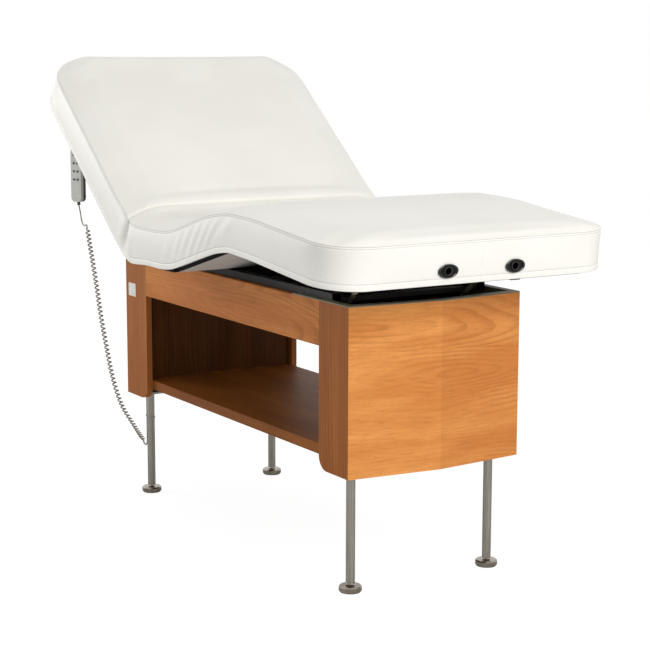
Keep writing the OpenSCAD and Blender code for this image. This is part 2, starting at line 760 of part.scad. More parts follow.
// Stations of a free end: the plan corners are round and the crown runs out
function end_stations(u_end) = concat(
    [for (d = [crown_reach, (crown_reach + corner_r) / 2])
        station(u_end - d, 0, half_m, crown_h * (1 - pow(1 - d / crown_reach, reach_power)))],
    [for (k = [90:-15:0]) let (d = corner_r * (1 - cos(k)))
        station(u_end - d, 0, half_m - corner_r * (1 - sin(k)),
            crown_h * (1 - pow(1 - d / crown_reach, reach_power)))]);
// Stations of a cut face at a hinge line, back to a square ring
function cut_stations(deg, square_at) = [for (f = [0, 0.5, 1])
    station(pad_gap + f * square_at, (1 - f) * tan(deg), half_m, crown_h)];
square_u = (axis_drop + pad_t + crown_h) * tan(back_cut) + corner_r / 8;

module loft(rings) {
    n = len(rings[0]);
    m = len(rings);
    middle = [for (r = [rings[0], rings[m - 1]]) (r[2] + r[n - 4]) / 2];
    polyhedron(points = concat([for (r = rings, p = r) p], middle), faces = concat(
        [for (i = [0:m - 2], j = [0:n - 1]) [i * n + j, i * n + (j + 1) % n, (i + 1) * n + j]],
        [for (i = [0:m - 2], j = [0:n - 1])
            [i * n + (j + 1) % n, (i + 1) * n + (j + 1) % n, (i + 1) * n + j]],
        [for (j = [0:n - 1]) [m * n, (j + 1) % n, j]],
        [for (j = [0:n - 1]) [m * n + 1, (m - 1) * n + j, (m - 1) * n + (j + 1) % n]]));
}
module back_pad() {
    color("ivory") on_back() loft(concat(cut_stations(back_cut, square_u),
        [station((square_u + back_l - crown_reach) / 2, 0, half_m, crown_h)], end_stations(back_l)));
}
module seat_pad() {
    color("ivory") placed() translate([0, thigh_y, axis_z]) loft([for (f = [0, 0.35, 0.7, 1])
        station(pad_gap + f * (seat_l - 2 * pad_gap), (1 - f) * tan(thigh_cut) - f * tan(back_cut),
            half_m, crown_h)]);
}
module thigh_pad() {
    color("ivory") on_thigh() loft(concat(cut_stations(thigh_cut, thigh_l / 2),
        [station(thigh_l - pad_gap, 0, half_m, crown_h)]));
}
module leg_pad() {
    color("ivory") on_leg() difference() {
        loft(concat([station(pad_gap, 0, half_m, crown_h),
            station((leg_rest_l - crown_reach) / 2, 0, half_m, crown_h)], end_stations(leg_rest_l)));
        both_sides() rod_y(socket_pitch / 2, [leg_rest_l - socket_l - side_play, leg_rest_l + cut],
            axis_drop + socket_up, socket_r + sleeve_t + sleeve_play);
    }
}
// The mattress where it folds, as fans of rings about a hinge line. A ring at lean deg takes the
// height of the nearer section's plane; at the knee it keeps to an arc
function fan_ring(lean, grow) = [for (p = ring(half_m, crown_h))
    let (r = (axis_drop + p[1]) * grow) [p[0], r * sin(lean), r * cos(lean)]];
function hollow(lean, total) = 1 / cos(max(lean, total - lean));
fold_steps = 6;
module fold(from, to, total) {
    loft([for (i = [0:fold_steps]) let (lean = from + (to - from) * i / fold_steps)
        fan_ring(lean, total > 0 ? hollow(lean, total) : 1)]);
}
module crease_fold() {
    color("ivory") placed() translate([0, back_y, axis_z]) mirror([0, 1, 0])
        fold(back_deg - back_cut, back_cut, back_deg);
}
module seat_fold() {
    color("ivory") placed() translate([0, thigh_y, axis_z])
        fold(thigh_deg - thigh_cut, thigh_cut, thigh_deg);
}
module knee_fold() {
    color("ivory") placed() translate([0, knee_y, knee_z]) fold(-leg_deg, thigh_deg, 0);
}

// Sockets for a head cradle: an oval flange on the foot face and a bored sleeve behind it
socket_r = socket_d / 2;
sleeve_t = 2.5;
sleeve_play = 0.3;
flange_half = [25, 17];
flange_t = 4;
socket_up = 30;
flange_sides = 48;
module cradle_sockets() {
    color("dimgray") on_leg() both_sides()
        translate([socket_pitch / 2, leg_rest_l, axis_drop + socket_up]) rotate([90, 0, 0]) difference() {
            union() {
                translate([0, 0, -flange_t]) linear_extrude(flange_t)
                    polygon([for (i = [0:flange_sides - 1]) let (a = 360 * i / flange_sides)
                        [flange_half[0] * cos(a), flange_half[1] * sin(a)]]);
                cylinder(h = socket_l - flange_t, r = socket_r + sleeve_t);
            }
            translate([0, 0, -flange_t - cut]) cylinder(h = socket_l + 2 * cut, r = socket_r);
        }
}

// Handset: two half shells with eight spring buttons, hung from a pin under the back rest
handset_x = -387;
hang_u = 531;
hang_h = -9;
hang_pin_r = 3;
hang_drop = 10;
hang_y = back_y + hang_u * cos(back_deg) - hang_h * sin(back_deg);
hang_z = axis_z + hang_u * sin(back_deg) + hang_h * cos(back_deg);
shell_r = 14;
shell_wall = 2.2;
ear_half = 6;
ear_plate = 3;
handset_top = hang_z - hang_drop;
handset_low = handset_top - handset_l;
button_pitch = [16, 25];
button_top = 22;
button_l = 6;
button_out = 1.6;
button_flange = 1.2;
button_rim = 0.9;
button_play = 0.25;
boot_r = 5;
boot_h = 10;
hook_t = 5;

module hook() {
    plate_x([handset_x + handset_t / 2 + side_play, handset_x + handset_t / 2 + side_play + hook_t])
        link([hang_u, hang_h], [hang_u, section_h / 2 - 2 * hang_pin_r - weld_gap], 4 * hang_pin_r);
    rod_x([handset_x - 2 * side_play, handset_x + handset_t / 2 + side_play], hang_u, hang_h, hang_pin_r);
}
// The handset hangs with its face turned a little towards the foot end
handset_turn = 20;
module turned() {
    translate([handset_x, hang_y, 0]) rotate([0, 0, handset_turn]) translate([-handset_x, -hang_y, 0])
        children();
}
module shell_plan(inset) {
    translate([hang_y - handset_w / 2 + inset, handset_low + inset])
        rounded([handset_w - 2 * inset, handset_l - 2 * inset], shell_r - inset);
}
module each_button() {
    for (i = [0:7])
        translate([0, hang_y + (i % 2 - 0.5) * button_pitch[0],
            handset_top - button_top - floor(i / 2) * button_pitch[1]]) children();
}
module handset_front() {
    color("lightgray") placed() turned() difference() {
        plate_x([handset_x - handset_t / 2, handset_x]) shell_plan(0);
        plate_x([handset_x - handset_t / 2 + shell_wall, handset_x + cut]) shell_plan(shell_wall);
        each_button() rod_x([handset_x - handset_t, handset_x], 0, 0, button_d / 2 + button_play);
    }
}
module handset_back() {
    color("dimgray") placed() difference() {
        turned() {
            difference() {
                plate_x([handset_x, handset_x + handset_t / 2]) shell_plan(0);
                plate_x([handset_x - cut, handset_x + handset_t / 2 - shell_wall]) shell_plan(shell_wall);
            }
            plate_x([handset_x, handset_x + ear_plate - side_play / 4]) {
                translate([hang_y, hang_z]) circle(r = ear_half);
                translate([hang_y - ear_half, handset_top - shell_wall])
                    square([2 * ear_half, hang_drop + shell_wall]);
            }
            translate([handset_x, hang_y, handset_low - boot_h]) cylinder(h = boot_h, r = boot_r);
        }
        rod_x([handset_x - ear_half, handset_x + ear_half], hang_y, hang_z, hang_pin_r + run_fit);
    }
}
module button(i) {
    color("darkslategray") placed() turned()
        translate([handset_x - handset_t / 2, hang_y + (i % 2 - 0.5) * button_pitch[0],
            handset_top - button_top - floor(i / 2) * button_pitch[1]]) {
            rod_x([-button_out, button_l - button_out], 0, 0, button_d / 2);
            rod_x([shell_wall + button_play, shell_wall + button_play + button_flange], 0, 0,
                button_d / 2 + button_rim);
        }
}

// Handset cord. Its route is chosen by hand, from the boot down to the clip behind the leg and up
// to the gland; Y is measured from the foot end of the cabinet
gland_in = 34;
cord_y = cabinet_l - gland_in;
cord_r = cord_d / 2;
gland_r = 6;
gland_flange_r = 9;
gland_h = 8;
clip_h = 6;
clip_z = 236;
clip_t = 1.5;
clip_play = 0.4;
lead_route = [[-387, 1369, 902], [-387, 1364, 891], [-387, 1358, 878], [-387, 1352, 861],
    [-387, 1344, 847], [-387, 1330, 841], [-386, 1317, 845], [-386, 1312, 841]];
curl_route = [[-386, 1312, 838], [-377, 1301, 749], [-367, 1291, 654], [-358, 1282, 559],
    [-346, 1272, 465], [-331, 1265, 372], [-304, 1260, 282], [-262, 1257, 209], [-232, 1257, 160]];
tail_route = [[-232, 1257, 155], [-227, 1258, 148], [-222, 1259, 146], [-219, 1260, 151],
    [-218, 1260, 166], [-218, 1260, 230], [-218, 1260, 312]];
curl_r = curl_d / 2 - cord_r;
curl_rings = 8;
cord_sides = 6;
// A smooth curve through a list of points, at t from 0 to the last index
function pick(p, i) = i < 0 ? 2 * p[0] - p[1]
    : i < len(p) ? p[i] : 2 * p[len(p) - 1] - p[len(p) - 2];
function along(p, t) = let (i = min(floor(t), len(p) - 2), f = t - i,
    a = pick(p, i - 1), b = pick(p, i), c = pick(p, i + 1), d = pick(p, i + 2))
    b + f * (c - a) / 2 + f * f * (a - 2.5 * b + 2 * c - d / 2) + f * f * f * (1.5 * (b - c) + (d - a) / 2);
lead_steps = 9;
tail_steps = 21;
spin_steps = curls * curl_rings;
function swell(f) = min(1, f * curls, (1 - f) * curls);
cord_path = concat(
    [for (i = [0:lead_steps - 1]) along(lead_route, i * (len(lead_route) - 1) / lead_steps)],
    [for (i = [0:spin_steps]) let (f = i / spin_steps, a = 360 * i / curl_rings,
        r = curl_r * swell(f)) along(curl_route, f * (len(curl_route) - 1)) + r * [cos(a), sin(a), 0]],
    [for (i = [0:tail_steps]) along(tail_route, i * (len(tail_route) - 1) / tail_steps)]);
function unit(v) = v / norm(v);
module handset_cord() {
    last = len(cord_path) - 1;
    points = [for (i = [0:last]) let (
        t = i == 0 || i == last ? [0, 0, i == 0 ? -1 : 1]
            : unit(cord_path[i + 1] - cord_path[i - 1]),
        a = i < lead_steps ? 0 : 360 * min(i - lead_steps, spin_steps) / curl_rings,
        out = [cos(a), sin(a), 0], e = unit(out - t * (out * t)), g = cross(t, e))
        for (k = [0:cord_sides - 1]) cord_path[i]
            + cord_r * (cos(360 * k / cord_sides) * e + sin(360 * k / cord_sides) * g)];
    color("rosybrown") placed() polyhedron(points = points, faces = concat(
        [for (i = [0:last - 1], k = [0:cord_sides - 1]) let (n = (k + 1) % cord_sides)
            [i * cord_sides + k, (i + 1) * cord_sides + k, i * cord_sides + n]],
        [for (i = [0:last - 1], k = [0:cord_sides - 1]) let (n = (k + 1) % cord_sides)
            [i * cord_sides + n, (i + 1) * cord_sides + k, (i + 1) * cord_sides + n]],
        [for (k = [1:cord_sides - 2]) [0, k, k + 1]],
        [for (k = [1:cord_sides - 2])
            [last * cord_sides, last * cord_sides + k + 1, last * cord_sides + k]]));
}
// Least gap between one turn of the cord and the next, measured on the points of its path
turn_gap = min([for (i = [lead_steps:lead_steps + spin_steps - 1])
    for (j = [i + curl_rings / 2:min(i + 2 * curl_rings, len(cord_path) - 1)])
        norm(cord_path[i] - cord_path[j])]) - cord_d;
cord_length = [for (i = 0, s = 0; i < len(cord_path) - 1;
    s = s + norm(cord_path[i + 1] - cord_path[i]), i = i + 1) s];
echo(turn_gap = turn_gap, cord_length = cord_length[len(cord_length) - 1]);

module cord_gland() {
    color("black") placed() translate([-leg_x, cord_y, floor_low]) difference() {
        union() {
            translate([0, 0, -gland_h]) cylinder(h = gland_h, r = gland_flange_r);
            cylinder(h = floor_t, r = gland_r - run_fit);
        }
        translate([0, 0, cut]) cylinder(h = floor_t, r = cord_r);
    }
}
// A clip round the leg tube, with a loop that the cord runs up through
module cord_clip() {
    gap = cord_y - cabinet_l + leg_in;
    color("lightsteelblue") placed() translate([-leg_x, cabinet_l - leg_in, clip_z]) difference() {
        union() {
            cylinder(h = clip_h, r = leg_r + clip_t);
            translate([0, gap, 0]) cylinder(h = clip_h, r = cord_r + clip_t);
            translate([-cord_r, 0, 0]) cube([2 * cord_r, gap, clip_h]);
        }
        translate([0, 0, -cut]) cylinder(h = clip_h + 2 * cut, r = leg_r + run_fit);
        translate([0, gap, -cut]) cylinder(h = clip_h + 2 * cut, r = cord_r + clip_play);
    }
}

end_panels();
end_partitions();
corner_stiles();
side_aprons();
shelf();
mechanism_tray();
end_floors();
rim_trim();
leg_tubes();
leg_cross_bars();
foot(-1, leg_in);  // foot_front_left
foot(1, leg_in);  // foot_front_right
foot(-1, cabinet_l - leg_in);  // foot_rear_left
foot(1, cabinet_l - leg_in);  // foot_rear_right
base_rails();
base_pivot_pins();
control_box();
lift_actuator();
lift_rod();
outer_arms();
inner_arms();
centre_studs();
rollers(high_pivot_z);  // upper_rollers
rollers(low_pivot_z);  // lower_rollers
top_frame();
top_frame_pins();
seat_deck();
seat_pad();
back_actuator();
back_rod();
knee_actuator();
knee_rod();
back_frame();
back_deck();
back_pad();
crease_fold();
thigh_frame();
thigh_deck();
thigh_pad();
seat_fold();
knee_fold();
knee_pins();
leg_frame();
leg_deck();
leg_pad();
leg_struts();
cradle_sockets();
handset_front();
handset_back();
button(0);  // button_1
button(1);  // button_2
button(2);  // button_3
button(3);  // button_4
button(4);  // button_5
button(5);  // button_6
button(6);  // button_7
button(7);  // button_8
cord_gland();
cord_clip();
handset_cord();
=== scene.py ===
# Electric massage table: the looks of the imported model, in metres, in the model's own frame.
import json
import math

import bmesh
import bpy
from mathutils import Matrix, Vector


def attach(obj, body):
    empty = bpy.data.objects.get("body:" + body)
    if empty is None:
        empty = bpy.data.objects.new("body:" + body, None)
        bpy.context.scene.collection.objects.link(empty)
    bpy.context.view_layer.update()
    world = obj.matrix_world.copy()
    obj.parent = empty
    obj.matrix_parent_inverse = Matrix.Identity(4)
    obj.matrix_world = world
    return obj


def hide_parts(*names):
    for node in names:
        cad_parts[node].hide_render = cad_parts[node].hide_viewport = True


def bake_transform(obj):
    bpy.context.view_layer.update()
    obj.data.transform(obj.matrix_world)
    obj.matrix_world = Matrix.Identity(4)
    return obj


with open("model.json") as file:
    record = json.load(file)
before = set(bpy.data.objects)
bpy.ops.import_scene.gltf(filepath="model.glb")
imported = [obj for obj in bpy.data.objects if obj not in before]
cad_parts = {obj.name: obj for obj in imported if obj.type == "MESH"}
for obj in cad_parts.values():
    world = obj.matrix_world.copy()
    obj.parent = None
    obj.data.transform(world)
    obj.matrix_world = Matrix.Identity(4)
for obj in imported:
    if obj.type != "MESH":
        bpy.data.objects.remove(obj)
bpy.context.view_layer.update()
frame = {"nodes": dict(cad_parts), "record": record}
nodes = frame["nodes"]
scene = bpy.context.scene
mm = 0.001
print("frame loaded,", len(nodes), "nodes")


# helpers for finishes
class Wire:
    # one output of a node; sums on it add Math nodes
    def __init__(self, finish, output):
        self.finish = finish
        self.output = output

    def maths(self, operation, first, second=0.0):
        return self.finish.add("ShaderNodeMath", {"operation": operation}, {0: first, 1: second})

    def __add__(self, other):
        return self.maths("ADD", self, other)

    def __sub__(self, other):
        return self.maths("SUBTRACT", self, other)

    def __rsub__(self, other):
        return self.maths("SUBTRACT", other, self)

    def __mul__(self, other):
        return self.maths("MULTIPLY", self, other)

    def __truediv__(self, other):
        return self.maths("DIVIDE", self, other)

    def __pow__(self, other):
        return self.maths("POWER", self, other)

    __radd__ = __add__
    __rmul__ = __mul__

    def size(self):
        return self.maths("ABSOLUTE", self)

    def smooth(self, low, high):
        # 0 below low, 1 above high
        return self.finish.add(
            "ShaderNodeMapRange",
            {"interpolation_type": "SMOOTHSTEP"},
            {"Value": self, "From Min": low, "From Max": high},
        )


class Nodes:
    # the nodes of a material or of the world
    def __init__(self, owner):
        owner.use_nodes = True
        self.tree = owner.node_tree

    def plug(self, node, sockets):
        for key, value in sockets.items():
            if isinstance(value, Wire):
                self.tree.links.new(value.output, node.inputs[key])
            else:
                node.inputs[key].default_value = value

    def add(self, kind, settings=None, sockets=None, output=0):
        node = self.tree.nodes.new(kind)
        for key, value in (settings or {}).items():
            setattr(node, key, value)
        self.plug(node, sockets or {})
        return Wire(self, node.outputs[output])


class Finish(Nodes):
    def __init__(self, name, **shader):
        self.material = bpy.data.materials.new(name)
        super().__init__(self.material)
        self.shader = self.tree.nodes["Principled BSDF"]
        self.wear(**shader)

    def coords(self, scale=(1, 1, 1), move=(0, 0, 0)):
        place = self.add("ShaderNodeTexCoord", output="Object")
        return self.add("ShaderNodeMapping", None, {"Vector": place, "Scale": scale, "Location": move})

    def cloud(self, coords, scale, detail=2.0, rough=0.5):
        sockets = {"Vector": coords, "Scale": scale, "Detail": detail, "Roughness": rough}
        return self.add("ShaderNodeTexNoise", None, sockets, "Fac")

    def part(self, coords, axis):
        return self.add("ShaderNodeSeparateXYZ", None, {"Vector": coords}, output=axis)

    def mix(self, factor, first, second):
        return self.add("ShaderNodeMix", {"data_type": "RGBA"}, {0: factor, 6: first, 7: second}, 2)

    def bump(self, height, strength, distance):
        sockets = {"Height": height, "Strength": strength, "Distance": distance}
        return self.add("ShaderNodeBump", None, sockets)

    def wear(self, **shader):
        # sets or links the shader's own sockets
        self.plug(self.shader, {key.replace("_", " "): value for key, value in shader.items()})
        return self.material


def tone(red, green, blue):
    # a colour as it is seen on screen, 0 to 255
    levels = [c / 255 for c in (red, green, blue)]
    return tuple(c / 12.92 if c <= 0.04045 else ((c + 0.055) / 1.055) ** 2.4 for c in levels) + (1,)


def lighter(colour, factor, lift=0.0):
    return tuple(min(1.0, c * factor + lift) for c in colour[:3]) + (1,)


def addObject(name, data):
    holder = bpy.data.objects.new(name, data)
    scene.collection.objects.link(holder)
    return holder


# finishes
def woodFinish(name, grain, across, tones, centres, spacing, contrast, shadedHalf=0.0, seed=0.0):
    # grain is the axis that the fibres follow, across the one that the figure spreads on
    # the year lines run round the centres: place along the grain, place across it, slope of the cut
    wood = Finish(name, Specular_IOR_Level=0.1)
    light, dark, line = tones
    place = wood.coords()

    def grained(along, drift=0.0):
        stretch = [1.0, 1.0, 1.0]
        stretch[grain] = along
        return wood.coords(stretch, move=(seed + drift, seed, seed + drift))

    warp = wood.cloud(grained(0.25), 4.5, 2.0, 0.5) - 0.5
    fine = wood.cloud(grained(0.25, 2.0), 22.0, 2.0, 0.6) - 0.5
    side = wood.part(place, across) + warp * 0.12
    length = wood.part(place, grain)
    reach = None
    for start, middle, slope in centres:
        depth = (length - start) * slope
        away = side - middle
        field = (away * away + depth * depth) ** 0.5
        reach = field if reach is None else reach.maths("MINIMUM", reach, field)
    rings = reach / spacing + fine * 0.9
    year = rings.maths("FRACT", rings)
    ring = year.smooth(0.35, 0.92) - year.smooth(0.93, 1.0)
    fibre = wood.cloud(grained(0.02), 230.0, 3.0, 0.65)
    pores = wood.cloud(grained(0.05), 620.0, 1.0, 0.5).smooth(0.62, 0.74)
    band = wood.cloud(grained(0.1, 4.0), 15.0, 2.0, 0.55).smooth(0.32, 0.66)
    faint = wood.cloud(grained(0.5, 6.0), 8.0, 1.0, 0.5).smooth(0.42, 0.66)
    tint = wood.mix(band, dark, light)
    tint = wood.mix(ring * contrast * (0.2 + 0.8 * faint), tint, line)
    tint = wood.mix((1 - fibre).smooth(0.35, 0.8) * 0.3, tint, line)
    tint = wood.mix(pores * 0.2, tint, line)
    if shadedHalf:
        # painted shade: the end panel's half on the +X side, turned away from the light, made a little
        # darker
        second = wood.part(place, "X").smooth(-0.001, 0.001)
        tint = wood.mix(second * shadedHalf, tint, line)
    height = fibre * 0.6 - ring * 0.2 - pores * 0.5
    return wood.wear(
        Base_Color=tint,
        Roughness=0.4 + (1 - fibre) * 0.16 + pores * 0.1,
        Normal=wood.bump(height, 0.1, 0.0005),
    )


endCentres = [(-0.24, 0.69, 0.11), (0.06, 0.57, 0.15), (-0.02, 0.3, 0.06)]
sideCentres = [(-0.12, 0.66, 0.14), (0.45, 0.74, 0.1)]
farAway = [(0.2, 1.4, 0.1)]
panelTones = (tone(232, 158, 86), tone(212, 134, 68), tone(158, 88, 40))
# painted shade: the stiles' and aprons' tones are darker than the end panels', for sides that face away from
# the light
stileShadedTones = (tone(178, 110, 54), tone(160, 94, 43), tone(108, 58, 22))
apronShadedTones = (tone(206, 132, 66), tone(188, 114, 53), tone(134, 76, 30))
# painted shade: the inner boards and the shelf are much darker, for the cabinet's inside, which lies in
# shade
innerShadedTones = (tone(104, 58, 20), tone(86, 45, 13), tone(50, 24, 6))
shelfShadedTones = (tone(152, 90, 36), tone(130, 74, 26), tone(82, 44, 14))
finishes = {
    # the end panels' last number darkens their +X half, as painted shade
    "panel_wood": woodFinish("panelWood", 0, "Z", panelTones, endCentres, 0.0115, 0.38, 0.16),
    "stile_wood": woodFinish("stileWoodShaded", 2, "Y", stileShadedTones, farAway, 0.013, 0.4, seed=3.1),
    "apron_wood": woodFinish("apronWoodShaded", 1, "Z", apronShadedTones, sideCentres, 0.012, 0.42, seed=1.7),
    "inner_wood": woodFinish("innerWoodShaded", 2, "X", innerShadedTones, farAway, 0.014, 0.5, seed=5.2),
    "shelf_wood": woodFinish("shelfWoodShaded", 1, "X", shelfShadedTones, farAway, 0.014, 0.45, seed=5.2),
}


def metalFinish(name, colour, rough, along, scale=260.0, streak=0.14, depth=0.06):
    metal = Finish(name, Metallic=1.0)
    stretch = [1.0, 1.0, 1.0]
    stretch[along] = 0.03
    brush = metal.cloud(metal.coords(stretch), scale, 3.0, 0.6)
    smudge = metal.cloud(metal.coords(), 14.0, 3.0, 0.6)
    return metal.wear(
        Base_Color=metal.mix(brush.smooth(0.3, 0.7), lighter(colour, 0.72), colour),
        Roughness=rough + brush * streak + smudge * 0.08,
        Normal=metal.bump(brush, depth, 0.0004),
    )


def paintFinish(name, colour, rough, grain=0.25, scale=900.0):
    paint = Finish(name, Specular_IOR_Level=0.4)
    peel = paint.cloud(paint.coords(), scale, 2.0, 0.5)
    dust = paint.cloud(paint.coords(), 11.0, 4.0, 0.65)
    return paint.wear(
        Base_Color=paint.mix(dust.smooth(0.42, 0.8) * 0.6, colour, lighter(colour, 1.5, 0.004)),
        Roughness=rough + dust * 0.12,
        Normal=paint.bump(peel, grain, 0.0003),
    )


def mouldFinish(name, colour, rough, coat=0.0, shine=0.5):
    mould = Finish(name, Specular_IOR_Level=shine, Coat_Weight=coat, Coat_Roughness=0.12)
    grit = mould.cloud(mould.coords(), 1600.0, 2.0, 0.6)
    film = mould.cloud(mould.coords(), 35.0, 3.0, 0.55)
    return mould.wear(
        Base_Color=mould.mix(film.smooth(0.35, 0.75), colour, lighter(colour, 1.16, 0.003)),
        Roughness=rough + film * 0.1,
        Normal=mould.bump(grit, 0.1, 0.0002),
    )


def vinylFinish():
    vinyl = Finish("ivoryVinyl", Specular_IOR_Level=0.42, Coat_Weight=0.05, Coat_Roughness=0.4)
    place = vinyl.coords()
    sockets = {"Vector": place, "Scale": 620.0, "Smoothness": 0.6}
    pebble = vinyl.add("ShaderNodeTexVoronoi", {"feature": "SMOOTH_F1"}, sockets, "Distance")
    crackle = vinyl.cloud(place, 1100.0, 3.0, 0.6)
    shade = vinyl.cloud(place, 4.0, 2.0, 0.5).smooth(0.3, 0.75)
    grain = pebble * 0.7 + crackle * 0.5
    field = vinyl.mix(shade, tone(235, 233, 225), tone(240, 238, 231))
    # the seams' thread, and painted shade in the side wrinkles' folds and along the crease, noted on the
    # cover's points
    darkLine = vinyl.add("ShaderNodeAttribute", {"attribute_name": "seam"}, None, "Fac")
    field = vinyl.mix(darkLine.smooth(0.1, 0.9) * 0.55, field, tone(132, 126, 112))
    return vinyl.wear(
        Base_Color=field,
        Roughness=0.42 + crackle * 0.1 + shade * 0.04,
        Normal=vinyl.bump(grain, 0.12, 0.0004),
    )


def deckFinish():
    # a board wrapped in pale cloth below, black on its upright edges
    deck = Finish("deckBoard", Specular_IOR_Level=0.2)
    weave = deck.cloud(deck.coords((1, 1, 0.2)), 1500.0, 2.0, 0.6)
    upright = deck.part(deck.add("ShaderNodeTexCoord", output="Normal"), "Z").size()
    face = upright.smooth(0.5, 0.6)
    field = deck.mix(face, tone(24, 23, 22), tone(206, 204, 198))
    return deck.wear(Base_Color=field, Roughness=0.72 + weave * 0.2, Normal=deck.bump(weave, 0.3, 0.0004))


finishes.update(
    {
        "leg_steel": metalFinish("legSteel", tone(176, 171, 160), 0.24, 2),
        "foot_metal": metalFinish("footMetal", tone(164, 156, 142), 0.14, 2, 60.0, 0.06, 0.02),
        "bright_pin": metalFinish("brightPin", tone(170, 168, 160), 0.28, 0),
        "stay_metal": metalFinish("stayMetal", tone(176, 164, 138), 0.36, 1),
        "edge_trim": paintFinish("edgeTrim", tone(112, 108, 88), 0.42, 0.2, 700.0),
        "black_frame": paintFinish("blackFrame", tone(22, 21, 20), 0.42),
        "drive_grey": paintFinish("driveGrey", tone(44, 43, 42), 0.5),
        "tray_board": paintFinish("trayBoard", tone(30, 27, 25), 0.62, 0.5, 300.0),
        "roller_nylon": mouldFinish("rollerNylon", tone(214, 212, 204), 0.45),
        "black_plastic": mouldFinish("blackPlastic", tone(24, 24, 25), 0.4),
        "socket_plastic": mouldFinish("socketPlastic", tone(10, 9, 8), 0.2, shine=0.22),
        "socket_rim": mouldFinish("socketRim", tone(11, 10, 8), 0.12, 0.45, 0.4),
        "handset_light": mouldFinish("handsetLight", tone(190, 191, 184), 0.45),
        "handset_dark": mouldFinish("handsetDark", tone(70, 70, 66), 0.45),
        "button_dark": mouldFinish("buttonDark", tone(52, 54, 62), 0.4),
        "cord_jacket": mouldFinish("cordJacket", tone(150, 141, 126), 0.42),
        "ivory_vinyl": vinylFinish(),
        "deck_board": deckFinish(),
    }
)
# each node takes the finish of its slot; the shelf has a grain of its own
looks = {part["node"]: part["material_slot"] for part in frame["record"]["subparts"]}
looks["shelf"] = "shelf_wood"
print("finishes made")


def dress(piece, slotName, body=None):
    # gives a new piece its finish, its slot and its body
    piece.data.materials.clear()
    piece.data.materials.append(finishes[slotName])
    if body is not None:
        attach(piece, body)
    return piece


def keep(name, mesh, smooth=True, angle=35):
    # turns a finished bmesh into an object at the origin
    bmesh.ops.recalc_face_normals(mesh, faces=mesh.faces[:])
    data = bpy.data.meshes.new(name)
    mesh.to_mesh(data)
    mesh.free()
    piece = addObject(name, data)
    for face in data.polygons:
        face.use_smooth = smooth
    if smooth and angle:
        data.set_sharp_from_angle(angle=math.radians(angle))
    return piece


# camera, light and floor
camera = {
    "place": Vector((-2.4864, -4.1823, 1.3916)),
    "yaw": 31.54,
    "pitch": 9.34,
    "roll": 0.113,
    "lens": 94.37,
    "sensor": 36,
}
lens = bpy.data.cameras.new("camera")
lens.lens = camera["lens"]
lens.sensor_width = camera["sensor"]
viewer = addObject("camera", lens)
viewer.matrix_world = (
    Matrix.Translation(camera["place"])
    @ Matrix.Rotation(math.radians(-camera["yaw"]), 4, "Z")
    @ Matrix.Rotation(math.radians(90 - camera["pitch"]), 4, "X")
    @ Matrix.Rotation(math.radians(camera["roll"]), 4, "Z")
)
scene.camera = viewer

scene.view_settings.view_transform = "Standard"
studio = {
    "sky": 0.62,
    "paper": 0.66,
    "paperGlow": 1.16,
    "paperShare": 0.8,
    "key": {"place": (0.4, -5.6, 3.2), "aim": (0, 0, 0.7), "size": 2.4, "power": 182},
    "side": {"place": (-2.7, 3.8, 1.6), "aim": (-0.4, 1.0, 0.8), "size": 1.6, "power": 72},
}
world = bpy.data.worlds.new("studio")
scene.world = world
# white where it is seen, directly or in a reflection, and softer as a light
skyNodes = Nodes(world)
seen = 0
for ray in ("Is Camera Ray", "Is Glossy Ray", "Is Transmission Ray"):
    seen = skyNodes.add("ShaderNodeLightPath", output=ray) + seen
seen = seen.maths("MINIMUM", seen, 1.0)
strength = seen * (1 - studio["sky"]) + studio["sky"]
skyNodes.plug(skyNodes.tree.nodes["Background"], {"Strength": strength, "Color": (1, 1, 1, 1)})
for name in ("key", "side"):
    lamp = studio[name]
    light = bpy.data.lights.new(name, "AREA")
    light.size = lamp["size"]
    light.energy = lamp["power"]
    holder = addObject(name, light)
    holder.location = lamp["place"]
    ray = Vector(lamp["aim"]) - Vector(lamp["place"])
    holder.rotation_euler = ray.to_track_quat("-Z", "Y").to_euler()

# pale paper that reads as white and keeps the shadow
floorMesh = bmesh.new()
bmesh.ops.create_grid(floorMesh, x_segments=1, y_segments=1, size=20)
floor = keep("floor", floorMesh, False)
paperTone = (studio["paper"],) * 3 + (1,)
ground = Finish("floorPaper", Roughness=0.9, Specular_IOR_Level=0.0, Base_Color=paperTone)
share = ground.add("ShaderNodeLightPath", output="Is Camera Ray") * studio["paperShare"]
glow = ground.add("ShaderNodeEmission", None, {"Color": (1, 1, 1, 1), "Strength": studio["paperGlow"]})
matt = Wire(ground, ground.shader.outputs[0])
paper = ground.add("ShaderNodeMixShader", None, {0: share, 1: matt, 2: glow})
ground.plug(ground.tree.nodes["Material Output"], {"Surface": paper})
floor.data.materials.append(ground.material)
print("camera, light and floor set")


# handset cord
table = {
    "middle": 675.67,  # where the model's Y = 0 lies, from the cabinet's foot end
    "backHinge": (948.0, 764.5),
    "thighHinge": (661.0, 764.5),
    "kneeHinge": (334.81, 856.80),
}


def spot(x, y, z):
    # a point measured from the cabinet's foot end, in mm, to the model's frame
    return Vector((x, y - table["middle"], z)) * mm


